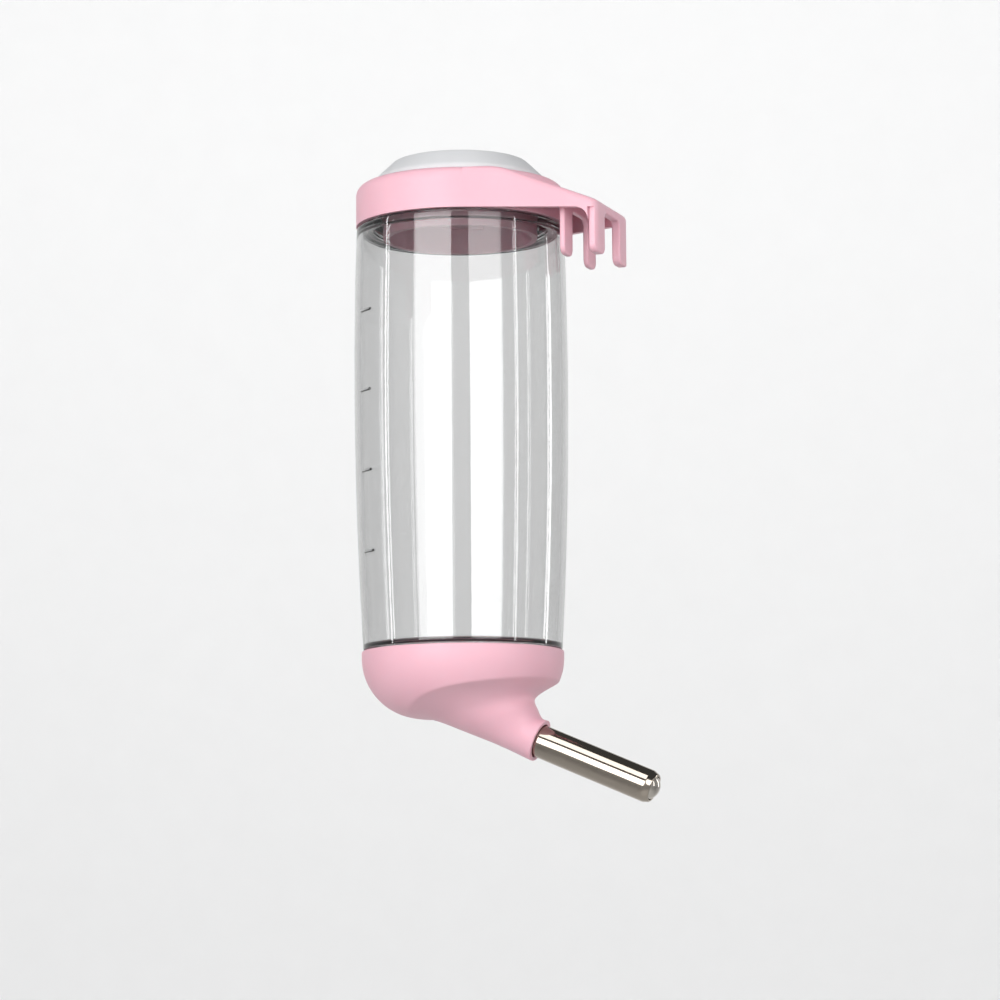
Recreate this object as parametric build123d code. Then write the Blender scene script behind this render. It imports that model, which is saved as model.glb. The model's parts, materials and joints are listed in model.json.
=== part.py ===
"""Hanging water bottle for rabbits: clear bottle, hook collar, fill cap and ball-valve drinking tube.

Millimetres, +Z up, +X from the bottle towards the cage. The origin is the middle of the seat for
the cage wire, between the four hook tabs, level with the collar's lower edge.
"""
import os
from math import cos, radians, sin, tan

from build123d import *

os.makedirs("parts", exist_ok=True)

# bottle
axis_x = -48.0            # the bottle's axis
body_r_top = 35.9         # outside radius just under the collar
body_r_bottom = 34.0
bulge = 1.7               # the side is an arc that stands this far outside its chord
wall = 2.4
body_top_z = -0.8         # shoulder under the collar
body_bottom_z = -146.6    # shoulder on the housing
shoulder_drop = 3.6       # inside shoulder below the outside one
foot_rise = 4.5
mark_step = 27.5          # 100 ml of height
mark_first_z = -31.7
mark_depth = 0.35         # how far the mark's middle lies inside the wall's face
mark_count = 4
mark_size = (1.6, 7.0, 0.9)
mark_turn = 48.0          # degrees round from the side away from the cage

# screw threads: two starts each, a male ridge between two female ridges
thread_lead = 8.0
thread_starts = 2
ridge_width = 1.5
female_phase = 90.0       # degrees, half way between two male ridges
neck_ridge = (1.0, 0.75)  # height where a ridge starts, and its turns
skirt_ridge = (1.6, 0.75)
plug_ridge = (7.6, 0.55)
mouth_ridge = (4.0, 0.7)
foot_ridge = (-153.0, 0.3)
housing_ridge = (-153.4, 0.3)
neck_r = 32.3             # bottle neck, top
neck_crest_r = 33.6
neck_bore_r = 30.2
neck_top_z = 10.8
foot_r = 30.6             # bottle neck, bottom
foot_crest_r = 31.9
foot_bore_r = 28.6
foot_end_z = -154.4
plug_r = 23.1             # fill cap's plug
plug_crest_r = 24.2
plug_bore_r = 21.1
plug_end_z = 6.8

# hook collar
collar_r = 36.0
collar_h = 14.4
collar_round = 3.75
collar_wall_r = 34.1      # inside of the outer skirt
collar_crest_r = 32.9
plate_z = 12.3            # underside of the top plate
mouth_r = 24.6
mouth_crest_r = 23.7
mouth_skirt_r = 26.6
mouth_skirt_end_z = -4.5

# hook
hook_end_x = 7.25
hook_taper = 21.0         # degrees, each side
hook_end_top_z = 2.6
hook_slope_start_x = -24.0
hook_slope_round = 22.0
hook_corner = 4.0         # seen from above
hook_round = 2.5          # along the roof's edges
hook_wall = 2.0
tab_y_in = 8.2
tab_y_out = 17.1
tab_drop = 15.2
slot_half = 4.25          # half the gap that takes the wire
outer_tab_t = 3.0
inner_tab_t = 1.9
inner_wall = (20.8, 0.8, 5.8)     # cross wall over the inner tabs: half width, low z, high z
outer_wall = (15.0, -0.4, 1.2)    # low lip between the outer tabs
tab_edge_round = 0.6
tab_end_round = 2.8
tab_arch_round = 2.4
gusset_round = 4.0

# fill cap
cap_base_r = 29.4
cap_top_r = 22.9
cap_base_z = 14.6
cap_top_z = 22.6
cap_wall = 1.8
cap_flange_r = 26.5
cap_flange_z = 15.4          # underside of the flange, on the seal
cap_flange_t = 1.1
cap_shoulder_z = 16.4        # where the cap's side starts to slope in

# nozzle housing
housing_r = 34.5
housing_top_z = -147.0
housing_wall_r = 32.4
housing_crest_r = 31.2
boot_angle = 23.0         # tube below the horizontal
boot_end = (27.5, -31.3)  # centre of the boot's end, from the axis and the housing's top
boot_end_r = 7.3
shell_t = 2.1
cup_bottom = -22.7        # heights here are from the housing's top
cup_round = 20.4
skirt_depth = 9.2
bowl_depth = 12.0         # straight bore, down to where the hollow narrows
crease = ((-17.0, -26.0), (-11.5, -21.6), (-2.0, -17.2), (12.0, -13.3), (36.0, -10.2))
section_points = 16       # points round each of the boot's sections

# drinking tube
tube_r = 5.65
tube_bore_r = 5.15
tube_root_r = 5.45        # necked down where the bush grips it
tube_root_end = 0.5       # the neck shows as a fine groove beyond the boot's end
tube_inside = 13.0        # length inside the boot
tube_exposed = 43.5
tube_flare_r = 6.5        # flange behind the bush
tube_flare_t = 0.6
tip_hole_r = 4.15
tip_round = 2.4
ball_r = 4.7625           # 3/8 inch ball
lip_t = 0.5               # the tip's rolled-in lip
ball_gap = 0.1            # ball to lip
bush_r = 6.8
bush_end = 4.0            # bush starts this far inside the boot's end
spring_wire_r = 0.35
spring_r = 3.6
spring_turns = 8
retainer_at = 12.0        # retainer's inner face, beyond the boot's end
retainer_t = 3.0
retainer_hole_r = 1.1


def about_axis(shape):
    return shape.moved(Location((axis_x, 0, 0)))


def ring(r_out, r_in, z_low, z_high):
    outer = Cylinder(r_out, z_high - z_low, align=(Align.CENTER, Align.CENTER, Align.MIN))
    hole = Cylinder(r_in, z_high - z_low, align=(Align.CENTER, Align.CENTER, Align.MIN))
    return (outer - hole).moved(Location((0, 0, z_low)))


def revolved(points):
    """A closed outline of (radius, height) points turned about the Z axis."""
    outline = make_face(Plane.XZ * Polyline(*points, close=True))
    return revolve(outline, Axis.Z)


def ridges(root_r, crest_r, start_and_turns, phase=0.0):
    """Helical ridges from root_r to crest_r, outwards or inwards, all on one common helix."""
    z_low, turns = start_and_turns
    sunk = 0.35 if crest_r > root_r else -0.35
    low = root_r - sunk
    path = Helix(pitch=thread_lead, height=thread_lead * turns, radius=low)
    half = ridge_width / 2
    slim = half * 0.55
    depth = crest_r - low
    section = make_face(
        Plane(origin=path @ 0, x_dir=(1, 0, 0), z_dir=path % 0)
        * Polyline((0, -half), (depth, -slim), (depth, slim), (0, half), close=True)
    )
    one = sweep(section, path=path, is_frenet=True)
    shapes = []
    for start in range(thread_starts):
        turn = phase + 360 * (z_low / thread_lead + start / thread_starts)
        shapes.append(one.rotate(Axis.Z, turn).moved(Location((0, 0, z_low))))
    return shapes


def hook_plan(inset):
    """The hook seen from above, from the ring's tangent points to its end."""
    side_x = collar_r * cos(radians(90 - hook_taper)) + axis_x
    side_y = collar_r * sin(radians(90 - hook_taper))
    end_y = side_y - (hook_end_x - side_x) * tan(radians(hook_taper))
    plan = make_face(Polyline((side_x, side_y), (hook_end_x, end_y), (hook_end_x, -end_y),
                              (side_x, -side_y), close=True))
    plan = fillet(plan.vertices().group_by(Axis.X)[-1], hook_corner)
    if inset:
        plan = offset(plan, -inset, kind=Kind.INTERSECTION)
    return plan


def hook_roof():
    """The space under the hook's sloping roof, as wide as anything."""
    drop = Polyline((axis_x, 0), (axis_x, collar_h), (hook_slope_start_x, collar_h),
                    (hook_end_x, hook_end_top_z), (hook_end_x, 0), close=True)
    profile = make_face(Plane.XZ * drop)
    start = profile.vertices().sort_by_distance((hook_slope_start_x, 0, collar_h))[0]
    return extrude(fillet(start, hook_slope_round), 2 * collar_r, both=True)


def make_hook_shell():
    """The tapering roof and side walls from the collar ring to the hook's end."""
    roof = hook_roof()
    outside = extrude(hook_plan(0), collar_h) & roof
    low = outside.edges().group_by(Axis.Z)[0]
    upright = outside.edges().filter_by(Axis.Z)
    root_x = outside.bounding_box().min.X
    rims = [edge for edge in outside.edges() if edge not in low and edge not in upright
            and edge.center().X > root_x + 0.1]
    outside = fillet(rims, hook_round)
    inside = extrude(hook_plan(hook_wall), collar_h) & roof.moved(Location((0, 0, -hook_wall)))
    core = about_axis(Cylinder(collar_r - 1.0, 2 * collar_h))
    return outside - inside - core


def make_tab_plate(x_low, thickness, cross_wall):
    """A cross wall with two round-ended tabs that hang from it."""
    half_width, low_z, high_z = cross_wall
    wall_high = high_z - low_z
    outline = Rectangle(2 * half_width, wall_high).moved(Location((0, low_z + wall_high / 2)))
    tab = Rectangle(tab_y_out - tab_y_in, tab_drop + high_z)
    tab = fillet(tab.vertices().group_by(Axis.Y)[0], tab_end_round)
    for side in (-1, 1):
        place = Location((side * (tab_y_in + tab_y_out) / 2, (high_z - tab_drop) / 2))
        outline += tab.moved(place)
    arch = [corner for corner in outline.vertices()
            if abs(abs(corner.X) - tab_y_in) < 0.01 and abs(corner.Y - low_z) < 0.01]
    outline = fillet(arch, tab_arch_round)
    plane = Plane(origin=(x_low, 0, 0), x_dir=(0, 1, 0), z_dir=(1, 0, 0))
    plate = extrude(plane * outline, thickness)
    faces = plate.faces().sort_by(Axis.X)
    return fillet(faces[0].edges() + faces[-1].edges(), tab_edge_round)


def make_gussets():
    """The side walls' lower edges curve down into the outer tabs."""
    r = gusset_round
    band = extrude(hook_plan(0), 2 * r) - extrude(hook_plan(hook_wall), 2 * r)
    band = band.moved(Location((0, 0, -r)))
    block = Box(r, 4 * collar_r, r, align=(Align.MIN, Align.CENTER, Align.MAX))
    bite = Cylinder(r, 4 * collar_r, rotation=(90, 0, 0)).moved(Location((0, 0, -r)))
    return band & (block - bite).moved(Location((slot_half - r, 0, 0)))


def make_hook_collar():
    skirt = revolved([(collar_wall_r, 0), (collar_r, 0), (collar_r, collar_h),
                      (mouth_r, collar_h), (mouth_r, mouth_skirt_end_z),
                      (mouth_skirt_r, mouth_skirt_end_z), (mouth_skirt_r, plate_z),
                      (collar_wall_r, plate_z)])
    rim = skirt.edges().filter_by(GeomType.CIRCLE).group_by(Axis.Z)[-1].sort_by(SortBy.RADIUS)[-1]
    skirt = fillet(rim, collar_round)
    for ridge in ridges(collar_wall_r, collar_crest_r, skirt_ridge, female_phase):
        skirt += ridge
    for ridge in ridges(mouth_r, mouth_crest_r, mouth_ridge, female_phase):
        skirt += ridge
    collar = about_axis(skirt) + make_hook_shell() + make_gussets()
    collar += make_tab_plate(-slot_half - inner_tab_t, inner_tab_t, inner_wall)
    end_prism = extrude(hook_plan(0), 3 * tab_drop, both=True)
    collar += make_tab_plate(slot_half, outer_tab_t, outer_wall) & end_prism
    return collar


def body_radius(z):
    """Outside radius of the clear wall at this height."""
    down = (body_top_z - z) / (body_top_z - body_bottom_z)
    return body_r_top + (body_r_bottom - body_r_top) * down + bulge * (1 - (2 * down - 1) ** 2)


def side_arc(z_high, z_low, inset):
    """The wall's outer or inner line between two heights."""
    z_mid = (z_high + z_low) / 2
    points = [(body_radius(z) - inset, z) for z in (z_high, z_mid, z_low)]
    return ThreePointArc(*points)


def make_bottle_body():
    outside = side_arc(body_top_z, body_bottom_z, 0)
    inside = side_arc(body_top_z - shoulder_drop, body_bottom_z + foot_rise, wall)
    foot = Polyline(outside @ 1, (foot_r, body_bottom_z), (foot_r, foot_end_z), (foot_bore_r, foot_end_z),
                    (foot_bore_r, body_bottom_z + 1.5), inside @ 1)
    neck = Polyline(inside @ 0, (neck_bore_r, body_top_z - 1.6), (neck_bore_r, neck_top_z),
                    (neck_r, neck_top_z), (neck_r, body_top_z), outside @ 0)
    bottle = revolve(make_face(Plane.XZ * (outside + foot + inside + neck)), Axis.Z)
    for ridge in ridges(neck_r, neck_crest_r, neck_ridge):
        bottle += ridge
    for ridge in ridges(foot_r, foot_crest_r, foot_ridge):
        bottle += ridge
    for i in range(mark_count):
        z = mark_first_z - i * mark_step
        mark = Box(*mark_size).moved(Location((mark_depth - body_radius(z), 0, z)))
        bottle += mark.rotate(Axis.Z, mark_turn)
    return about_axis(bottle)


def make_cap_shell():
    inner_r = cap_base_r - cap_wall
    slope = make_face(Plane.XZ * Polyline(
        (0, cap_top_z), (cap_top_r, cap_top_z), (cap_base_r, cap_shoulder_z),
        (cap_base_r, cap_base_z), (inner_r, cap_base_z), (inner_r, cap_shoulder_z - 0.7),
        (cap_top_r - 0.8, cap_top_z - cap_wall), (0, cap_top_z - cap_wall), close=True))
    slope = fillet(slope.vertices().sort_by_distance((cap_top_r, 0, cap_top_z))[0], 2.0)
    slope = fillet(slope.vertices().sort_by_distance((cap_base_r, 0, cap_shoulder_z))[0], 2.0)
    return about_axis(revolve(slope, Axis.Z))


def make_cap_plug():
    plug = revolved([(0, cap_flange_z), (plug_bore_r, cap_flange_z), (plug_bore_r, plug_end_z),
                     (plug_r, plug_end_z), (plug_r, cap_flange_z), (cap_flange_r, cap_flange_z),
                     (cap_flange_r, cap_flange_z + cap_flange_t), (0, cap_flange_z + cap_flange_t)])
    for ridge in ridges(plug_r, plug_crest_r, plug_ridge):
        plug += ridge
    return about_axis(plug)


def make_cap_seal():
    return about_axis(ring(cap_flange_r, plug_r + 0.1, collar_h, cap_flange_z))


def make_neck_seal():
    return about_axis(ring(collar_crest_r - 0.3, neck_bore_r + 0.1, neck_top_z, plate_z))


def boot_sections():
    """Ellipses from the cup's underside to the boot's end: left point, right point, half width."""
    end_x, end_z = boot_end
    up_x, up_z = boot_end_r * sin(radians(boot_angle)), boot_end_r * cos(radians(boot_angle))
    return [
        ((-31.8, -10.6), (32.4, -9.6), 31.9),
        ((-26.0, -17.8), (28.0, -13.8), 26.0),
        ((-13.0, -22.2), (25.4, -16.8), 18.6),
        ((2.6, -28.2), (26.2, -20.6), 13.0),
        ((13.6, -32.7), (28.0, -23.6), 9.2),
        ((end_x - up_x, end_z - up_z), (end_x + up_x, end_z + up_z), boot_end_r),
    ]


def boot_solid(inset):
    """The lofted boot, or its hollow when inset is more than nothing."""
    faces = []
    for (left_x, left_z), (right_x, right_z), half_width in boot_sections():
        middle = Vector((left_x + right_x) / 2, 0, (left_z + right_z) / 2)
        across = Vector(right_x - left_x, 0, right_z - left_z)
        half_across = across.normalized() * (across.length / 2 - inset)
        sideways = Vector(0, half_width - inset, 0)
        points = []
        for step in range(section_points):
            angle = radians(360 * step / section_points)
            points.append(middle + half_across * cos(angle) + sideways * sin(angle))
        faces.append(make_face(Spline(*points, periodic=True)))
    return loft(faces[:-1]) + loft(faces[-2:])


def tube_place(shape, distance):
    """Put a shape made along +Z on the tube's axis, this far beyond the boot's end."""
    end_x, end_z = boot_end
    along = Vector(cos(radians(boot_angle)), 0, -sin(radians(boot_angle)))
    start = Vector(axis_x + end_x, 0, housing_top_z + end_z) + along * distance
    plane = Plane(origin=start, x_dir=(0, 1, 0), z_dir=along)
    return plane * shape


def cup_solid():
    """The round cup whose lower corner is a wide arc."""
    cup = make_face(Plane.XZ * Polyline(
        (0, 0), (housing_r, 0), (housing_r, cup_bottom), (0, cup_bottom), close=True))
    corner = cup.vertices().sort_by_distance((housing_r, 0, cup_bottom))[0]
    return revolve(fillet(corner, cup_round), Axis.Z)


def scoop_solid():
    """What the scoop takes from the cup, below the crease."""
    line = Spline(*crease)
    far_x, far_z = housing_r + 6, 1.8 * cup_bottom
    below = Polyline(crease[-1], (far_x, crease[-1][1]), (far_x, far_z), (crease[0][0], far_z), crease[0])
    return extrude(make_face(Plane.XZ * (line + below)), 40, both=True)


def make_nozzle_housing():
    hang = (Align.CENTER, Align.CENTER, Align.MAX)
    shape = (cup_solid() - scoop_solid()) + boot_solid(0)
    shape -= boot_solid(shell_t) - Cylinder(2 * housing_r, bowl_depth - 0.6, align=hang)
    shape -= Cylinder(housing_wall_r, skirt_depth, align=hang)
    shape -= Cylinder(foot_bore_r, bowl_depth, align=hang)
    shape = shape.moved(Location((0, 0, housing_top_z)))
    for ridge in ridges(housing_wall_r, housing_crest_r, housing_ridge, female_phase):
        shape += ridge
    tube_bore = Cylinder(tube_root_r, 30, align=hang)
    bush_bore = Cylinder(bush_r, 22, align=hang)
    return about_axis(shape) - tube_place(tube_bore, 1.0) - tube_place(bush_bore, -bush_end)


def make_housing_seal():
    z_low = housing_top_z - skirt_depth
    return about_axis(ring(foot_crest_r, foot_bore_r + 0.1, z_low, foot_end_z))


def make_drinking_tube():
    """Thin steel tube, flared behind its bush, its tip rolled in to hold the ball."""
    inside, end = -tube_inside, tube_exposed
    outline = Polyline((tube_bore_r, inside), (tube_flare_r, inside),
                       (tube_flare_r, inside + tube_flare_t), (tube_root_r, inside + tube_flare_t),
                       (tube_root_r, tube_root_end), (tube_r, tube_root_end),
                       (tube_r, end), (tip_hole_r, end),
                       (tip_hole_r, end - lip_t), (tube_bore_r, end - lip_t - 1.0), close=True)
    face = make_face(Plane.XZ * outline)
    face = fillet(face.vertices().sort_by_distance((tube_r, 0, end))[0], tip_round / 2)
    return tube_place(revolve(face, Axis.Z), 0)


def ball_centre():
    """Distance of the ball's centre beyond the boot's end, at rest behind the lip."""
    return tube_exposed - lip_t - ball_gap - (ball_r ** 2 - tip_hole_r ** 2) ** 0.5


def make_valve_ball():
    return tube_place(Sphere(ball_r), ball_centre())


def make_spring_retainer():
    disc = Cylinder(tube_bore_r, retainer_t, align=(Align.CENTER, Align.CENTER, Align.MIN))
    for hole in PolarLocations(spring_r - 0.6, 5):
        disc -= hole * Cylinder(retainer_hole_r, 3 * retainer_t)
    return tube_place(disc, retainer_at)


def make_valve_spring():
    """Open coil between the retainer and the ball's back."""
    start = retainer_at + retainer_t + spring_wire_r + 0.05
    end = ball_centre() - (ball_r ** 2 - spring_r ** 2) ** 0.5 - spring_wire_r - 0.1
    path = Helix(pitch=(end - start) / spring_turns, height=end - start, radius=spring_r)
    wire = Plane(origin=path @ 0, z_dir=path % 0) * Circle(spring_wire_r)
    return tube_place(sweep(wire, path=path, is_frenet=True), start)


def make_tube_bush():
    length = tube_inside - tube_flare_t - bush_end
    return tube_place(ring(bush_r, tube_root_r, -length, 0), -bush_end)


parts = {
    "hook_collar": make_hook_collar,
    "bottle_body": make_bottle_body,
    "cap_shell": make_cap_shell,
    "cap_plug": make_cap_plug,
    "cap_seal": make_cap_seal,
    "neck_seal": make_neck_seal,
    "nozzle_housing": make_nozzle_housing,
    "housing_seal": make_housing_seal,
    "tube_bush": make_tube_bush,
    "drinking_tube": make_drinking_tube,
    "valve_ball": make_valve_ball,
    "valve_spring": make_valve_spring,
    "spring_retainer": make_spring_retainer,
}

for name, make in parts.items():
    shape = make()
    export_step(shape, f"parts/{name}.step")
    print(name, round(shape.volume / 1000, 2), "cm3")
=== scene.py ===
import bmesh
import bpy
import json
from math import atan2, cos, pi, radians, sin, tan
from mathutils import Matrix, Vector


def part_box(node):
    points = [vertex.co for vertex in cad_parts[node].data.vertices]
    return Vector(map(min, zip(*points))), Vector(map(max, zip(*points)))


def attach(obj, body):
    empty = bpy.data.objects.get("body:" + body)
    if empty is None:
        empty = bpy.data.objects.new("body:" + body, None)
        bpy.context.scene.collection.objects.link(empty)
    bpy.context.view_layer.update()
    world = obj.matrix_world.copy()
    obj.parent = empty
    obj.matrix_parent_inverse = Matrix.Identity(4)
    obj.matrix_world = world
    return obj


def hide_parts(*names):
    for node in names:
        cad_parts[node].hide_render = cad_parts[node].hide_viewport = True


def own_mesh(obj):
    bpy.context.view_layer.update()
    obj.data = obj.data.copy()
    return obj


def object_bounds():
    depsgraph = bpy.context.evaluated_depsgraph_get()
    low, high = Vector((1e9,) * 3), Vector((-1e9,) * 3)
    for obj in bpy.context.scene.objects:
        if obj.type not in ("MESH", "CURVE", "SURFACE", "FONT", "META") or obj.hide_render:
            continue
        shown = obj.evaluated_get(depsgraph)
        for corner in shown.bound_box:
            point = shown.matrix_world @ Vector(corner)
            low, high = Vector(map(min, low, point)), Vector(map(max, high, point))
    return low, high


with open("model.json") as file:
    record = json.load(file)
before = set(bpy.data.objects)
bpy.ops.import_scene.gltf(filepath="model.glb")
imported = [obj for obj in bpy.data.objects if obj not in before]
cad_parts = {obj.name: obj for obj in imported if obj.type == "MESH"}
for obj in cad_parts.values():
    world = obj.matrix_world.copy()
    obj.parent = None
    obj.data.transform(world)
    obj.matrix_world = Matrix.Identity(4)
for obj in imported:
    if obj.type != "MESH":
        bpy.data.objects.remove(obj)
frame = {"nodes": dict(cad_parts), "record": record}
cadLow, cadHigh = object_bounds()
mm = 0.001

# places taken from the frame
bottleLow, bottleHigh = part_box("bottle_body")
capLow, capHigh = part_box("cap_shell")
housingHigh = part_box("nozzle_housing")[1]
axisX = (capLow.x + capHigh.x) / 2          # the bottle's axis
tubeMount = next(m for m in frame["record"]["mounts"] if m["name"] == "drinking_tube_end")
tubeAxis = Vector(tubeMount["axis"])
mountFromBoot = 21.4                        # along the tube, boot's end to the middle of the bare tube
bootEnd = Vector(tubeMount["pos_m"]) - mountFromBoot * mm * tubeAxis
print("frame loaded, axis at", round(axisX, 4))


def deselectAll():
    if bpy.context.object and bpy.context.object.mode != "OBJECT":
        bpy.ops.object.mode_set(mode="OBJECT")
    bpy.ops.object.select_all(action="DESELECT")


def hexColor(text):
    # sRGB hex to the linear colour that Blender wants
    parts = [int(text[i:i + 2], 16) / 255 for i in (1, 3, 5)]
    linear = [c / 12.92 if c <= 0.04045 else ((c + 0.055) / 1.055) ** 2.4 for c in parts]
    return (*linear, 1.0)


def pickSpot(obj, spots, reach=0.00002):
    # selects the vertices that lie at these places
    edit = bmesh.from_edit_mesh(obj.data)
    for vert in edit.verts:
        here = obj.matrix_world @ vert.co
        vert.select = any((here - spot).length < reach for spot in spots)
    edit.select_flush(True)
    bmesh.update_edit_mesh(obj.data)


def drawnProfile(name, corners, closed):
    # corners are (radius, height, rounding) in mm, drawn beside the bottle's axis
    spots = [Vector((axisX + r * mm, 0, z * mm)) for r, z, rounding in corners]
    deselectAll()
    bpy.ops.mesh.primitive_plane_add(size=0.001, location=spots[0])
    profile = bpy.context.object
    profile.name = profile.data.name = name
    bpy.ops.object.mode_set(mode="EDIT")
    bpy.ops.mesh.select_mode(type="VERT")
    bpy.ops.mesh.select_all(action="SELECT")
    bpy.ops.mesh.merge(type="CENTER")
    for here, ahead in zip(spots, spots[1:]):
        bpy.ops.mesh.extrude_region_move(TRANSFORM_OT_translate={"value": ahead - here})
    if closed:
        pickSpot(profile, (spots[0], spots[-1]))
        bpy.ops.mesh.edge_face_add()
    for i in range(1, len(spots) - 1):
        rounding = corners[i][2] * mm
        if rounding:
            half = (spots[i - 1] - spots[i]).angle(spots[i + 1] - spots[i]) / 2
            pickSpot(profile, (spots[i],))
            bpy.ops.mesh.bevel(offset_type="OFFSET", offset=rounding / tan(half), segments=6,
                               affect="VERTICES", profile=0.5)
    return profile


def turnedPiece(name, corners, sides, closed=True):
    piece = drawnProfile(name, corners, closed)
    bpy.ops.mesh.select_all(action="SELECT")
    bpy.ops.mesh.spin(steps=sides, angle=2 * pi, center=(axisX, 0, 0), axis=(0, 0, 1))
    closeUp(piece)
    return piece


def closeUp(piece):
    # merges the seam and poles, turns the faces outwards and puts the object at the origin
    bpy.ops.mesh.select_all(action="SELECT")
    bpy.ops.mesh.remove_doubles(threshold=0.000003)
    bpy.ops.mesh.normals_make_consistent(inside=False)
    bpy.ops.object.mode_set(mode="OBJECT")
    bpy.ops.object.transform_apply(location=True, rotation=True, scale=True)


def ringedPiece(name, rings):
    # a circle extruded ring after ring, each new ring's vertices put in their places
    deselectAll()
    bpy.ops.mesh.primitive_circle_add(vertices=len(rings[0]), radius=0.01)
    piece = bpy.context.object
    piece.name = piece.data.name = name
    bpy.ops.object.mode_set(mode="EDIT")
    bpy.ops.mesh.select_mode(type="VERT")
    for i, ring in enumerate(rings):
        if i:
            bpy.ops.mesh.extrude_edges_move()
        edit = bmesh.from_edit_mesh(piece.data)
        chosen = sorted((v for v in edit.verts if v.select), key=lambda v: v.index)
        for vert, spot in zip(chosen, ring):
            vert.co = spot
        edit.verts.index_update()
        bmesh.update_edit_mesh(piece.data)
    bpy.ops.mesh.select_all(action="DESELECT")
    bpy.ops.mesh.select_mode(type="EDGE")
    bpy.ops.mesh.select_non_manifold(extend=False)
    bpy.ops.mesh.bridge_edge_loops()
    closeUp(piece)
    return piece


threadSettings = {
    "lead": 8.0,                            # height of one full turn
    "sunk": 0.3,                            # how far a ridge's root goes into its wall
    "crestHalf": 0.42, "rootHalf": 0.75,    # half widths of the ridge
    "stepsPerTurn": 80,
}


def threadRidge(name, rootRadius, crestRadius, startZ, turns, turnOn):
    # a small trapezoid that a Screw modifier winds up the bottle's axis, one of two starts
    s = threadSettings
    sunk = s["sunk"] if crestRadius > rootRadius else -s["sunk"]
    deselectAll()
    place = Vector((axisX + rootRadius * mm, 0, startZ * mm))
    bpy.ops.mesh.primitive_plane_add(size=0.001, location=place, rotation=(pi / 2, 0, 0))
    ridge = bpy.context.object
    ridge.name = ridge.data.name = name
    bpy.ops.object.mode_set(mode="EDIT")
    edit = bmesh.from_edit_mesh(ridge.data)
    for vert in edit.verts:
        outer = vert.co.x > 0
        vert.co.x = ((crestRadius - rootRadius) if outer else -sunk) * mm
        vert.co.y = s["crestHalf" if outer else "rootHalf"] * mm * (1 if vert.co.y > 0 else -1)
    bmesh.update_edit_mesh(ridge.data)
    bpy.ops.object.mode_set(mode="OBJECT")
    bpy.ops.object.transform_apply(location=True, rotation=True, scale=True)
    bpy.ops.object.mode_set(mode="EDIT")
    bpy.ops.mesh.select_all(action="SELECT")
    bpy.ops.transform.translate(value=(-axisX, 0, 0))
    bpy.ops.object.mode_set(mode="OBJECT")
    winding = ridge.modifiers.new("winding", "SCREW")
    winding.axis, winding.angle = "Z", 2 * pi * turns
    winding.screw_offset = s["lead"] * turns * mm
    winding.steps = winding.render_steps = int(s["stepsPerTurn"] * turns)
    bpy.ops.object.modifier_apply(modifier="winding")
    bpy.ops.object.mode_set(mode="EDIT")
    bpy.ops.mesh.select_mode(type="EDGE")
    bpy.ops.mesh.select_all(action="SELECT")
    bpy.ops.mesh.remove_doubles(threshold=0.000001)
    bpy.ops.mesh.normals_make_consistent(inside=False)
    bpy.ops.object.mode_set(mode="OBJECT")
    ridge.rotation_euler.z = 2 * pi * (startZ / s["lead"]) + turnOn
    ridge.location.x = axisX
    bpy.ops.object.transform_apply(location=True, rotation=True, scale=True)
    return ridge


def fused(body, extras):
    # each extra becomes one solid with the body
    for extra in extras:
        deselectAll()
        body.select_set(True)
        bpy.context.view_layer.objects.active = body
        union = body.modifiers.new("union", "BOOLEAN")
        union.operation, union.solver, union.object = "UNION", "EXACT", extra
        bpy.ops.object.modifier_apply(modifier="union")
        bpy.data.objects.remove(extra)
    return body


def smooth(obj, angle=32):
    deselectAll()
    obj.select_set(True)
    bpy.context.view_layer.objects.active = obj
    bpy.ops.object.shade_smooth_by_angle(angle=radians(angle))


def addNode(tree, kind, settings=None, links=None):
    # settings: attribute or input socket to value; links: input socket to (node, output)
    node = tree.nodes.new(kind)
    for key, value in (settings or {}).items():
        if key in node.inputs and not hasattr(type(node), key):
            node.inputs[key].default_value = value
        elif hasattr(node, key) and key not in ("Color", "Scale"):
            setattr(node, key, value)
        else:
            node.inputs[key].default_value = value
    for key, (source, output) in (links or {}).items():
        tree.links.new(source.outputs[output], node.inputs[key])
    return node


def newMaterial(name):
    material = bpy.data.materials.new(name)
    material.use_nodes = True
    tree = material.node_tree
    tree.nodes.clear()
    coords = addNode(tree, "ShaderNodeTexCoord")
    return material, tree, coords


def finishMaterial(tree, shader, volume=None):
    links = {"Surface": (shader, "BSDF")}
    if volume:
        links["Volume"] = (volume, "Volume")
    addNode(tree, "ShaderNodeOutputMaterial", {}, links)


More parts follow.
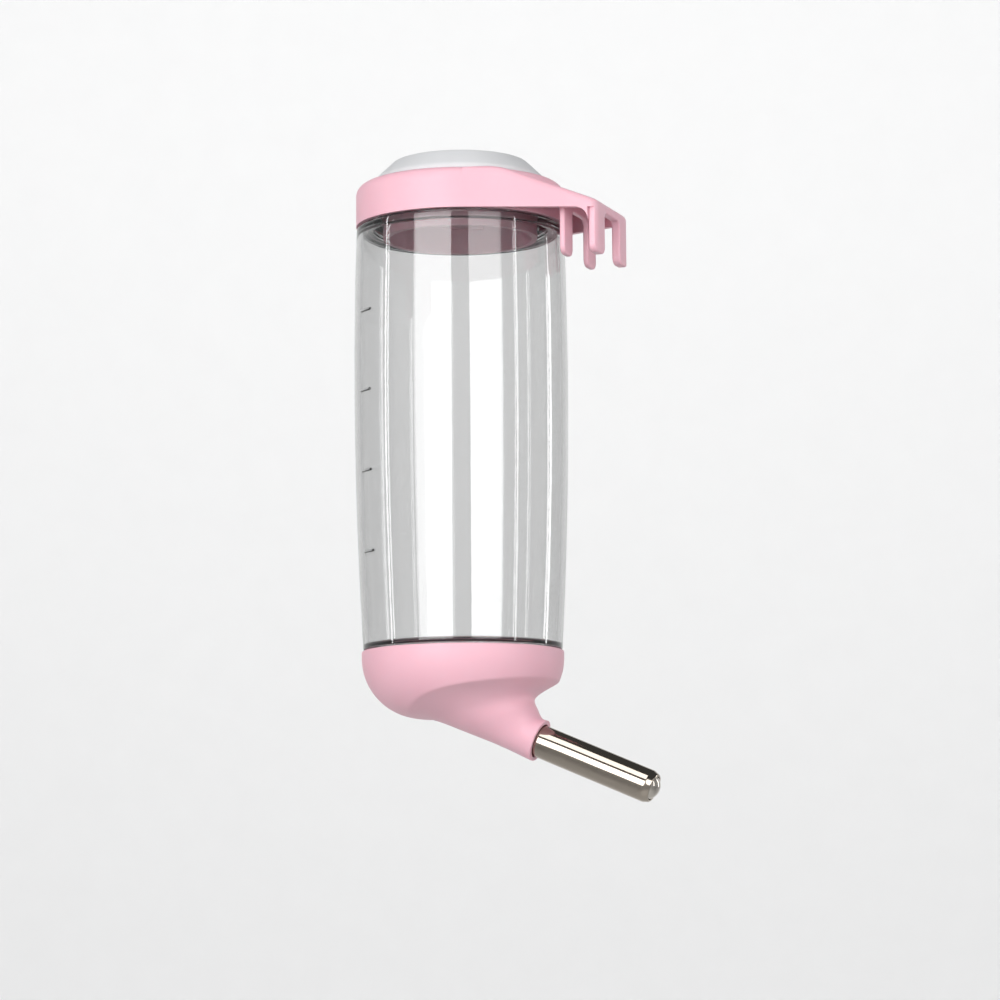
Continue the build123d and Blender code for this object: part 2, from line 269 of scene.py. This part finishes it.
def pinkPolypropylene():
    # polypropylene moulded in a finely sparked tool: soft sheen, a little light gets under the skin
    material, tree, coords = newMaterial("pinkPolypropyleneMoulded")
    cloud = addNode(tree, "ShaderNodeTexNoise", {"Scale": 1 / 0.030, "Detail": 2.0},
                    {"Vector": (coords, "Object")})
    color = addNode(tree, "ShaderNodeValToRGB", {}, {"Fac": (cloud, "Fac")})
    color.color_ramp.elements[0].position = 0.3
    color.color_ramp.elements[0].color = hexColor("#EDB7C5")
    color.color_ramp.elements[1].position = 0.7
    color.color_ramp.elements[1].color = hexColor("#F1BECB")
    grain = addNode(tree, "ShaderNodeTexNoise", {"Scale": 1 / 0.00035, "Detail": 3.0},
                    {"Vector": (coords, "Object")})    # real spark grain is finer, drawn coarser to show
    gloss = addNode(tree, "ShaderNodeMapRange", {"To Min": 0.40, "To Max": 0.52},
                    {"Value": (grain, "Fac")})
    bump = addNode(tree, "ShaderNodeBump", {"Strength": 0.10, "Distance": 0.00004},
                   {"Height": (grain, "Fac")})
    shader = addNode(tree, "ShaderNodeBsdfPrincipled",
                     {"IOR": 1.49, "Subsurface Weight": 0.20, "Subsurface Scale": 0.0012,
                      "Subsurface Radius": (1.0, 0.45, 0.45)},
                     {"Base Color": (color, "Color"), "Roughness": (gloss, "Result"),
                      "Normal": (bump, "Normal")})
    finishMaterial(tree, shader)
    return material


def whitePolypropylene():
    # off-white polypropylene, matte sparked finish like the collar but drier
    material, tree, coords = newMaterial("whitePolypropyleneMatte")
    cloud = addNode(tree, "ShaderNodeTexNoise", {"Scale": 1 / 0.022, "Detail": 2.0},
                    {"Vector": (coords, "Object")})
    color = addNode(tree, "ShaderNodeValToRGB", {}, {"Fac": (cloud, "Fac")})
    color.color_ramp.elements[0].position = 0.3
    color.color_ramp.elements[0].color = hexColor("#D2D3D5")
    color.color_ramp.elements[1].position = 0.7
    color.color_ramp.elements[1].color = hexColor("#D9DADC")
    grain = addNode(tree, "ShaderNodeTexNoise", {"Scale": 1 / 0.00040, "Detail": 3.0},
                    {"Vector": (coords, "Object")})
    gloss = addNode(tree, "ShaderNodeMapRange", {"To Min": 0.52, "To Max": 0.64},
                    {"Value": (grain, "Fac")})
    bump = addNode(tree, "ShaderNodeBump", {"Strength": 0.14, "Distance": 0.00004},
                   {"Height": (grain, "Fac")})
    shader = addNode(tree, "ShaderNodeBsdfPrincipled",
                     {"IOR": 1.49, "Subsurface Weight": 0.12, "Subsurface Scale": 0.001,
                      "Subsurface Radius": (1.0, 0.9, 0.85)},
                     {"Base Color": (color, "Color"), "Roughness": (gloss, "Result"),
                      "Normal": (bump, "Normal")})
    finishMaterial(tree, shader)
    return material


def clearStyrene():
    # injection-moulded styrene acrylonitrile: water-clear, faintly grey, with slow flow waviness
    material, tree, coords = newMaterial("clearStyreneMoulded")
    stretch = addNode(tree, "ShaderNodeMapping", {"Scale": (1.0, 1.0, 0.25)},
                      {"Vector": (coords, "Object")})
    wave = addNode(tree, "ShaderNodeTexNoise", {"Scale": 1 / 0.014, "Detail": 1.0},
                   {"Vector": (stretch, "Vector")})
    bump = addNode(tree, "ShaderNodeBump", {"Strength": 0.05, "Distance": 0.0006},
                   {"Height": (wave, "Fac")})
    shader = addNode(tree, "ShaderNodeBsdfPrincipled",
                     {"IOR": 1.56, "Roughness": 0.0, "Transmission Weight": 1.0,
                      "Base Color": hexColor("#F8F8F8")},
                     {"Normal": (bump, "Normal")})
    volume = addNode(tree, "ShaderNodeVolumeAbsorption",
                     {"Color": hexColor("#A6A8A8"), "Density": 85.0})
    finishMaterial(tree, shader, volume)
    return material


def siliconeRubber():
    # moulded silicone: milky, soft low gloss
    material, tree, coords = newMaterial("siliconeRubberMoulded")
    cloud = addNode(tree, "ShaderNodeTexNoise", {"Scale": 1 / 0.006, "Detail": 2.0},
                    {"Vector": (coords, "Object")})
    color = addNode(tree, "ShaderNodeValToRGB", {}, {"Fac": (cloud, "Fac")})
    color.color_ramp.elements[0].color = hexColor("#D6D6D2")
    color.color_ramp.elements[1].color = hexColor("#E2E2DE")
    bump = addNode(tree, "ShaderNodeBump", {"Strength": 0.1, "Distance": 0.00005},
                   {"Height": (cloud, "Fac")})
    shader = addNode(tree, "ShaderNodeBsdfPrincipled",
                     {"IOR": 1.41, "Roughness": 0.45, "Subsurface Weight": 0.3,
                      "Subsurface Scale": 0.001},
                     {"Base Color": (color, "Color"), "Normal": (bump, "Normal")})
    finishMaterial(tree, shader)
    return material


def stainlessSteel(name, low, high, tint):
    # drawn and polished stainless: warm grey mirror with faint lengthwise draw lines
    material, tree, coords = newMaterial(name)
    turn = addNode(tree, "ShaderNodeMapping", {"Rotation": (0, -atan2(-tubeAxis.z, tubeAxis.x), 0),
                                               "Scale": (0.02, 1.0, 1.0)},
                   {"Vector": (coords, "Object")})
    lines = addNode(tree, "ShaderNodeTexNoise", {"Scale": 1 / 0.0004, "Detail": 2.0},
                    {"Vector": (turn, "Vector")})
    gloss = addNode(tree, "ShaderNodeMapRange", {"To Min": low, "To Max": high},
                    {"Value": (lines, "Fac")})
    bump = addNode(tree, "ShaderNodeBump", {"Strength": 0.03, "Distance": 0.00003},
                   {"Height": (lines, "Fac")})
    shader = addNode(tree, "ShaderNodeBsdfPrincipled",
                     {"Metallic": 1.0, "Base Color": hexColor(tint)},
                     {"Roughness": (gloss, "Result"), "Normal": (bump, "Normal")})
    finishMaterial(tree, shader)
    return material


def paintedPaper():
    # matte studio paper sweep
    material, tree, coords = newMaterial("studioPaper")
    fibre = addNode(tree, "ShaderNodeTexNoise", {"Scale": 1 / 0.05, "Detail": 3.0},
                    {"Vector": (coords, "Object")})
    color = addNode(tree, "ShaderNodeValToRGB", {}, {"Fac": (fibre, "Fac")})
    color.color_ramp.elements[0].color = hexColor("#F2F2F2")
    color.color_ramp.elements[1].color = hexColor("#F5F5F5")
    shader = addNode(tree, "ShaderNodeBsdfPrincipled", {"Roughness": 0.9},
                     {"Base Color": (color, "Color")})
    finishMaterial(tree, shader)
    return material


pink = pinkPolypropylene()
white = whitePolypropylene()
clear = clearStyrene()
silicone = siliconeRubber()
tubeSteel = stainlessSteel("stainlessSteelPolished", 0.06, 0.11, "#B3A99D")
ballSteel = stainlessSteel("stainlessSteelBall", 0.03, 0.06, "#CFC9C0")
springSteel = stainlessSteel("stainlessSteelWire", 0.18, 0.28, "#B9B4AC")
paper = paintedPaper()
print("materials made")


def dress(obj, material, body, replaced):
    obj.data.materials.clear()
    obj.data.materials.append(material)
    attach(obj, body)
    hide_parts(replaced)


bottleSettings = {
    "sides": 144, "steps": 22,                          # round the bottle, and up its side
    "wall": 2.2,
    "topRadius": 35.9, "bottomRadius": 34.0, "bulge": 1.7,
    "boxGap": 0.02,                                     # keeps the side a hair inside the frame's box
    "neck": (30.2, 32.3), "foot": (28.6, 30.6),         # inside and outside radius
    "shoulderTop": -0.8, "shoulderBottom": -146.6,
    "innerShoulder": (1.5, 2.4), "innerFloor": (1.1, 1.3),    # below the top one, above the bottom one
    "sideStart": 1.6, "sideEnd": 1.2,                   # outer side's ends, clear of the rounded corners
    "innerStart": 3.0, "innerEnd": 4.4,
    "neckMiddle": 4.0,
    "neckCrest": 33.6, "neckRidge": (1.0, 0.75),        # start height, turns
    "footCrest": 31.9, "footRidge": (-153.0, 0.3),
    "firstMark": -31.7, "markStep": 27.5, "markCount": 4,
    "markTurn": 48, "markSize": (1.2, 7.0, 0.9), "markSunk": 0.1, "markRound": 0.35,
}


def bottleSide(z, inset):
    # radius of the gently barrelled side at this height
    s = bottleSettings
    down = (s["shoulderTop"] - z) / (s["shoulderTop"] - s["shoulderBottom"])
    chord = s["topRadius"] + (s["bottomRadius"] - s["topRadius"]) * down
    return chord + s["bulge"] * (1 - (2 * down - 1) ** 2) - inset - s["boxGap"]


def makeBottle():
    s = bottleSettings
    neckIn, neckOut = s["neck"]
    footIn, footOut = s["foot"]
    high, low = s["shoulderTop"], s["shoulderBottom"]
    top, bottom = bottleHigh.z / mm, bottleLow.z / mm
    topEdge, lowEdge = s["innerShoulder"], s["innerFloor"]
    outerTop, outerLow = high - s["sideStart"], low + s["sideEnd"]
    innerLow, innerTop = low + s["innerStart"], high - s["innerEnd"]
    down = [outerTop + (outerLow - outerTop) * i / s["steps"] for i in range(s["steps"] + 1)]
    up = [innerLow + (innerTop - innerLow) * i / s["steps"] for i in range(s["steps"] + 1)]
    corners = [(neckIn, s["neckMiddle"], 0), (neckIn, top, 0.3), (neckOut, top, 0.5), (neckOut, high, 0.4),
               (bottleSide(high, 0), high, 0.7)]
    corners += [(bottleSide(z, 0), z, 0) for z in down]
    corners += [(bottleSide(low, 0), low, 0.5), (footOut, low, 0.4), (footOut, bottom, 0.5),
                (footIn, bottom, 0.3), (footIn, low + lowEdge[0], 0.4),
                (bottleSide(up[0], s["wall"]), low + lowEdge[1], 0.9)]
    corners += [(bottleSide(z, s["wall"]), z, 0) for z in up]
    corners += [(bottleSide(up[-1], s["wall"]), high - topEdge[1], 0.9), (neckIn, high - topEdge[0], 0.6)]
    body = turnedPiece("clearBottle", corners, s["sides"])
    ridges = []
    for turnOn in (0, pi):
        ridges.append(threadRidge("neckRidge", neckOut, s["neckCrest"], *s["neckRidge"], turnOn))
    for turnOn in (0, pi):
        ridges.append(threadRidge("footRidge", footOut, s["footCrest"], *s["footRidge"], turnOn))
    marks = [volumeMark(i) for i in range(s["markCount"])]
    fused(body, ridges + marks)
    smooth(body, 40)
    return body


def volumeMark(i):
    # a low rounded bar moulded on the side, one for each 100 ml
    s = bottleSettings
    z = s["firstMark"] - s["markStep"] * i
    turn = radians(180 + s["markTurn"])
    radius = (bottleSide(z, 0) - s["markSunk"]) * mm
    place = (axisX + radius * cos(turn), radius * sin(turn), z * mm)
    deselectAll()
    bpy.ops.mesh.primitive_cube_add(size=mm, location=place, rotation=(0, 0, turn), scale=s["markSize"])
    bpy.ops.object.transform_apply(location=True, rotation=True, scale=True)
    mark = bpy.context.object
    rounding = mark.modifiers.new("rounding", "BEVEL")
    rounding.width, rounding.segments = s["markRound"] * mm, 3
    bpy.ops.object.modifier_apply(modifier="rounding")
    return mark


bottle = makeBottle()
dress(bottle, clear, "bottle", "bottle_body")
print("bottle made")


capSettings = {
    "sides": 128,
    "baseRadius": 29.4, "topRadius": 22.9,
    "rim": 1.8,                             # height of the upright rim
    "wall": 1.8, "innerRim": 1.1, "innerTop": 22.1,
    "flats": (8, 16),                       # rings across the flat top
}


def makeCap():
    s = capSettings
    low, high = capLow.z / mm, capHigh.z / mm
    base, top = s["baseRadius"], s["topRadius"]
    corners = [(0, high, 0)] + [(radius, high, 0) for radius in s["flats"]]
    corners += [(top, high, 2.4), (base, low + s["rim"], 2.2), (base, low, 0.3), (base - s["wall"], low, 0.3),
                (base - s["wall"], low + s["innerRim"], 0.8), (s["innerTop"], high - s["wall"], 1.2),
                (0, high - s["wall"], 0)]
    dome = turnedPiece("fillCapDome", corners, s["sides"], closed=False)
    smooth(dome, 40)
    return dome


cap = makeCap()
dress(cap, white, "fill_cap", "cap_shell")
print("cap made")


housingSettings = {
    "sides": 160,
    "radius": 34.5, "bottom": -22.7, "round": 20.4,     # the bowl, heights from the housing's top
    "skirtRadius": 32.4, "skirtDepth": 9.2, "boreRadius": 28.6, "boreDepth": 12.0,
    "shell": 2.5,
    "crease": (-10.2, 0.125, 5.3, 48.2),                 # start height, slope, final dip and its reach
    "creaseSoft": 0.30,                                  # width of the soft edge along the crease
    "hollow": 5.0, "hollowRise": 0.15,                   # pull inwards just below the crease
    "bowlRings": 22, "bootRings": 40, "bootRange": (0.028, 0.99),
    "sections": (                                        # under point, upper point, half width
        ((-8.6, -23.8), (25.0, -15.7), 18.4),
        ((2.6, -28.2), (26.2, -20.6), 13.0),
        ((13.6, -32.7), (28.0, -23.6), 9.2),
    ),
    "bootEnd": (27.5, -31.3), "bootRadius": 7.3, "bootAngle": 23.0,
    "mouth": ((0.12, 0.0), (0.45, 0.0), (1.0, 0.0), (1.35, 0.0), (1.35, -2.5),
              (1.65, -2.6), (1.65, -4.0), (0.5, -4.0), (0.5, -12.0)),    # inset, and along the tube
    "crest": 31.2, "ridge": (-153.4, 0.3),
}


def creaseHeight(x):
    # the crease runs down from the boot's side of the cup to the far side
    start, slope, dip, reach = housingSettings["crease"]
    away = housingSettings["radius"] - x
    return start - slope * away - dip * (away / reach) ** 5


def bowlPoint(along):
    # radius and height at this distance down the bowl's side, round its corner and in along its bottom
    s = housingSettings
    straight = -s["bottom"] - s["round"]
    arc = s["round"] * pi / 2
    if along < straight:
        return s["radius"], -along
    if along < straight + arc:
        a = (along - straight) / s["round"]
        return s["radius"] - s["round"] * (1 - cos(a)), -straight - s["round"] * sin(a)
    return s["radius"] - s["round"] - (along - straight - arc), s["bottom"]


def creaseDistance(angle):
    # how far down the bowl the crease lies at this angle about the axis
    low, high = 1.0, 60.0
    for i in range(40):
        middle = (low + high) / 2
        r, z = bowlPoint(middle)
        if z > creaseHeight(r * cos(angle)):
            low = middle
        else:
            high = middle
    return low


def housingSpot(x, y, z):
    return Vector((axisX + x * mm, y * mm, housingHigh.z + z * mm))


def bowlSpot(angle, along):
    r, z = bowlPoint(along)
    return housingSpot(r * cos(angle), r * sin(angle), z)


def sectionSpot(section, angle, inset):
    # a place on one of the boot's oval sections
    (lowX, lowZ), (highX, highZ), halfWidth = section
    middle = Vector(((lowX + highX) / 2, 0, (lowZ + highZ) / 2))
    across = Vector((highX - lowX, 0, highZ - lowZ)) / 2
    across *= 1 - inset / across.length
    place = middle + across * cos(angle) + Vector((0, halfWidth - inset, 0)) * sin(angle)
    return housingSpot(*place)


def endSection():
    s = housingSettings
    x, z = s["bootEnd"]
    slant = radians(s["bootAngle"])
    upX, upZ = s["bootRadius"] * sin(slant), s["bootRadius"] * cos(slant)
    return ((x - upX, z - upZ), (x + upX, z + upZ), s["bootRadius"])


def between(spots, t, hollow):
    # smooth curve through the spots, t from 0 to 1, hollow pulls its start inwards
    u = t * (len(spots) - 1)
    i = min(int(u), len(spots) - 2)
    f = u - i
    before = spots[i - 1] if i else spots[0] * 2 - spots[1]
    after = spots[i + 2] if i + 2 < len(spots) else spots[-1] * 2 - spots[-2]
    a, b = spots[i], spots[i + 1]
    slopeA, slopeB = (b - before) / 2, (after - a) / 2
    if i == 0:
        slopeA += hollow
    return (a * (2 * f ** 3 - 3 * f ** 2 + 1) + slopeA * (f ** 3 - 2 * f ** 2 + f)
            + b * (3 * f ** 2 - 2 * f ** 3) + slopeB * (f ** 3 - f ** 2))


def makeHousing():
    s = housingSettings
    angles = [2 * pi * k / s["sides"] for k in range(s["sides"])]
    crease = [creaseDistance(a) for a in angles]
    soft, outerRim, skirt = s["creaseSoft"], s["radius"], s["skirtRadius"]

    def circle(r, z):
        return [housingSpot(r * cos(a), r * sin(a), z) for a in angles]

    rings = [circle(skirt, -0.3), circle(skirt + 0.3, 0.0), circle(outerRim - 0.5, 0.0),
             circle(outerRim - 0.15, -0.15), circle(outerRim, -0.5)]
    for t in [i / s["bowlRings"] for i in range(1, s["bowlRings"])]:
        rings.append([bowlSpot(a, 0.5 + (d - soft - 0.5) * t) for a, d in zip(angles, crease)])
    rings.append([bowlSpot(a, d - soft) for a, d in zip(angles, crease)])
    lower = []
    for a, d in zip(angles, crease):
        spots = [bowlSpot(a, d)] + [sectionSpot(section, a, 0) for section in s["sections"]]
        lower.append(spots + [sectionSpot(endSection(), a, 0)])
    hollows = []
    for a in angles:
        share = sin(a) ** 2 if cos(a) > 0 else 1           # none above the boot, where the wall is thin
        hollows.append(Vector((-cos(a), -sin(a), s["hollowRise"])) * s["hollow"] * mm * share)
    first, last = s["bootRange"]
    edge = []
    for a, d, spots, hollow in zip(angles, crease, lower, hollows):
        after = between(spots, first, hollow)
        edge.append(bowlSpot(a, d) * 0.55 + (bowlSpot(a, d - soft) + after) * 0.225)
    rings.append(edge)
    for t in [first + (last - first) * i / s["bootRings"] for i in range(s["bootRings"] + 1)]:
        rings.append([between(spots, t, hollow) for spots, hollow in zip(lower, hollows)])
    ahead = tubeAxis * mm
    for inset, forward in s["mouth"]:
        rings.append([sectionSpot(endSection(), a, inset) + ahead * forward for a in angles])
    for section in reversed(s["sections"]):
        rings.append([sectionSpot(section, a, s["shell"]) for a in angles])
    rings += [circle(s["boreRadius"] - 1.5, -s["boreDepth"] - 1.8), circle(s["boreRadius"], -s["boreDepth"]),
              circle(s["boreRadius"], -s["skirtDepth"]), circle(skirt, -s["skirtDepth"])]
    shell = ringedPiece("nozzleHousing", rings)
    ridges = []
    for turnOn in (pi / 2, 3 * pi / 2):
        ridges.append(threadRidge("housingRidge", skirt, s["crest"], *s["ridge"], turnOn))
    fused(shell, ridges)
    smooth(shell, 28)
    return shell


housing = makeHousing()
dress(housing, pink, "nozzle", "nozzle_housing")
print("housing made")


tubeSettings = {
    "sides": 96,
    "radius": 5.65, "bore": 5.15, "root": 5.45, "inside": 13.0, "length": 43.5,
    "flange": (0.85, 0.6),                  # stands out by, thickness
    "necked": 0.5,                          # where the full radius starts
    "rings": (10, 25),
    "taper": (2.1, 0.8), "holeRadius": 4.15, "lip": 0.5,    # taper's length and depth at the tip
}


def layAlongTube(piece):
    # a piece turned about the bottle's axis is laid on the tube's axis, distances from the boot's end
    deselectAll()
    piece.select_set(True)
    bpy.context.view_layer.objects.active = piece
    turn = Vector((0, 0, 1)).rotation_difference(tubeAxis).to_matrix().to_4x4()
    piece.matrix_world = Matrix.Translation(bootEnd) @ turn @ Matrix.Translation((-axisX, 0, 0))
    bpy.ops.object.transform_apply(location=True, rotation=True, scale=True)


def makeTube():
    s = tubeSettings
    radius, bore, end, start = s["radius"], s["bore"], s["length"], -s["inside"]
    standOut, thick = s["flange"]
    taper, depth = s["taper"]
    corners = [(bore, 0, 0), (bore, start, 0), (radius + standOut, start, 0.2),
               (radius + standOut, start + thick, 0.2), (s["root"], start + thick, 0),
               (s["root"], s["necked"], 0), (radius, s["necked"], 0.15)]
    corners += [(radius, along, 0) for along in s["rings"]]
    corners += [(radius, end - taper, 1.4), (radius - depth, end, 0.55), (s["holeRadius"], end, 0.2),
                (s["holeRadius"], end - s["lip"], 0.1), (bore, end - s["lip"] - 1.0, 0)]
    tube = turnedPiece("drinkingTube", corners, s["sides"])
    layAlongTube(tube)
    smooth(tube, 40)
    return tube


tube = makeTube()
dress(tube, tubeSteel, "nozzle", "drinking_tube")
print("tube made")


springSettings = {
    "wireSides": 12, "wireRadius": 0.35,
    "radius": 3.6, "turns": 8, "stepsPerTurn": 28,
    "press": 2.0,                           # how far the ball goes in
}


def makeSpring():
    # a round wire wound on the tube's axis, between the places where the frame's spring starts and ends
    s = springSettings
    along = [(v.co - bootEnd).dot(tubeAxis) for v in frame["nodes"]["valve_spring"].data.vertices]
    start, end = min(along) + s["wireRadius"] * mm, max(along) - s["wireRadius"] * mm
    deselectAll()
    bpy.ops.mesh.primitive_circle_add(vertices=s["wireSides"], radius=s["wireRadius"] * mm, fill_type="NGON",
                                      location=(s["radius"] * mm, 0, start), rotation=(pi / 2, 0, 0))
    bpy.ops.object.transform_apply(location=True, rotation=True, scale=True)
    spring = bpy.context.object
    spring.name = spring.data.name = "valveSpringCoil"
    winding = spring.modifiers.new("winding", "SCREW")
    winding.axis, winding.angle, winding.screw_offset = "Z", 2 * pi * s["turns"], end - start
    winding.steps = winding.render_steps = s["stepsPerTurn"] * s["turns"]
    bpy.ops.object.modifier_apply(modifier="winding")
    bpy.ops.object.mode_set(mode="EDIT")
    bpy.ops.mesh.select_all(action="SELECT")
    bpy.ops.mesh.remove_doubles(threshold=0.000001)
    bpy.ops.mesh.normals_make_consistent(inside=False)
    bpy.ops.object.mode_set(mode="OBJECT")
    spring.location.x = axisX
    bpy.ops.object.transform_apply(location=True, rotation=True, scale=True)
    layAlongTube(spring)
    smooth(spring, 40)
    return spring, bootEnd + tubeAxis * min(along), max(along) - min(along)


spring, springSeat, springLength = makeSpring()
dress(spring, springSteel, "nozzle", "valve_spring")
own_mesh(spring)
print("spring made")


# pieces of the frame that keep their shape
for node, material in (("hook_collar", pink), ("cap_plug", white), ("cap_seal", silicone),
                       ("neck_seal", silicone), ("housing_seal", silicone), ("tube_bush", silicone),
                       ("valve_ball", ballSteel), ("spring_retainer", white)):
    piece = frame["nodes"][node]
    piece.data.materials.clear()
    piece.data.materials.append(material)


studioSettings = {
    "floorZ": -1.4, "radius": 4.2, "bend": 1.2, "wallHeight": 4.0, "sides": 96,      # metres
    "airColor": "#E8EAEC", "airStrength": 0.10,
    "cameraAzimuth": 19.5, "cameraElevation": -7.3, "cameraRoll": -0.44,
    "cameraDistance": 1.3, "lens": 136.5,
    "target": (-48.0, 0.0, -90.0), "aimRight": 13.0, "aimUp": -5.0,
}


def makeStudio():
    # a paper floor that curves up into a wall all round
    s = studioSettings
    floor, radius, height = s["floorZ"] / mm, s["radius"] / mm, s["wallHeight"] / mm
    corners = [(0, floor, 0), (radius * 0.4, floor, 0), (radius, floor, s["bend"] / mm),
               (radius, floor + height, 0)]
    sweep = turnedPiece("paperSweep", corners, s["sides"], closed=False)
    deselectAll()
    sweep.select_set(True)
    bpy.ops.object.mode_set(mode="EDIT")
    bpy.ops.mesh.select_all(action="SELECT")
    bpy.ops.mesh.flip_normals()
    bpy.ops.object.mode_set(mode="OBJECT")
    smooth(sweep, 60)
    sweep.data.materials.append(paper)


softboxes = {                               # azimuth, elevation, distance, width, height, watts
    "softboxLeft": (-11, 10, 1.5, 1.1, 0.85, 13.5),
    "softboxRight": (47, 10, 1.6, 1.0, 0.85, 8),
    "softboxTop": (0, 55, 1.6, 0.9, 0.9, 7),
    "stripLeft": (-68, 8, 1.5, 0.05, 1.0, 1.6),
    "stripRight": (82, 8, 1.5, 0.05, 1.0, 1.3),
    "stripBack": (131, 8, 1.6, 0.10, 1.0, 2.2),
}
backdropLights = ((-161, 3.4, 56), (19, 3.4, 22))    # azimuth, distance, watts


def softbox(name, azimuth, elevation, distance, width, height, power):
    a, e = radians(azimuth), radians(elevation)
    back = Vector((sin(a) * cos(e), -cos(a) * cos(e), sin(e)))
    light = bpy.data.lights.new(name, "AREA")
    light.shape = "RECTANGLE"
    light.size, light.size_y = width, height
    light.energy = power
    lamp = bpy.data.objects.new(name, light)
    bpy.context.scene.collection.objects.link(lamp)
    aim = Vector((axisX, 0, (cadLow.z + cadHigh.z) / 2))
    lamp.location = aim + back * distance
    lamp.rotation_mode = "QUATERNION"
    lamp.rotation_quaternion = back.to_track_quat("Z", "Y")
    lamp.visible_camera = False


def backdropLight(azimuth, distance, power):
    # lights the paper wall on one side of the bottle, and turns its back to the bottle itself
    a = radians(azimuth)
    light = bpy.data.lights.new("backdropLight", "AREA")
    light.shape, light.size, light.size_y, light.energy = "RECTANGLE", 3.0, 2.0, power
    lamp = bpy.data.objects.new("backdropLight", light)
    bpy.context.scene.collection.objects.link(lamp)
    out = Vector((sin(a), -cos(a), 0))
    lamp.location = out * (distance - 1.6) + Vector((axisX, 0, 1.6))
    lamp.rotation_mode = "QUATERNION"
    lamp.rotation_quaternion = Vector((-out.x, -out.y, 0.55)).to_track_quat("Z", "Y")
    lamp.visible_camera = lamp.visible_transmission = False


def makeCamera():
    s = studioSettings
    a, e = radians(s["cameraAzimuth"]), radians(s["cameraElevation"])
    back = Vector((sin(a) * cos(e), -cos(a) * cos(e), sin(e)))
    right = Vector((cos(a), sin(a), 0))
    up = back.cross(right)
    camera = bpy.data.cameras.new("camera")
    camera.lens, camera.sensor_width = s["lens"], 36.0
    camera.clip_start, camera.clip_end = 0.05, 50
    obj = bpy.data.objects.new("camera", camera)
    bpy.context.scene.collection.objects.link(obj)
    aim = Vector(s["target"]) * mm + right * s["aimRight"] * mm + up * s["aimUp"] * mm
    roll = radians(s["cameraRoll"])
    rolledRight = right * cos(roll) + up * sin(roll)
    rolledUp = back.cross(rolledRight)
    obj.matrix_world = Matrix.Translation(aim + back * s["cameraDistance"]) @ Matrix(
        (rolledRight, rolledUp, back)).transposed().to_4x4()
    bpy.context.scene.camera = obj


makeStudio()
for name, placing in softboxes.items():
    softbox(name, *placing)
for placing in backdropLights:
    backdropLight(*placing)
world = bpy.data.worlds.new("studioAir")
bpy.context.scene.world = world
world.use_nodes = True
air = world.node_tree.nodes["Background"].inputs
air["Color"].default_value = hexColor(studioSettings["airColor"])
air["Strength"].default_value = studioSettings["airStrength"]
makeCamera()
bpy.context.scene.view_settings.view_transform = "Standard"
print("studio made")
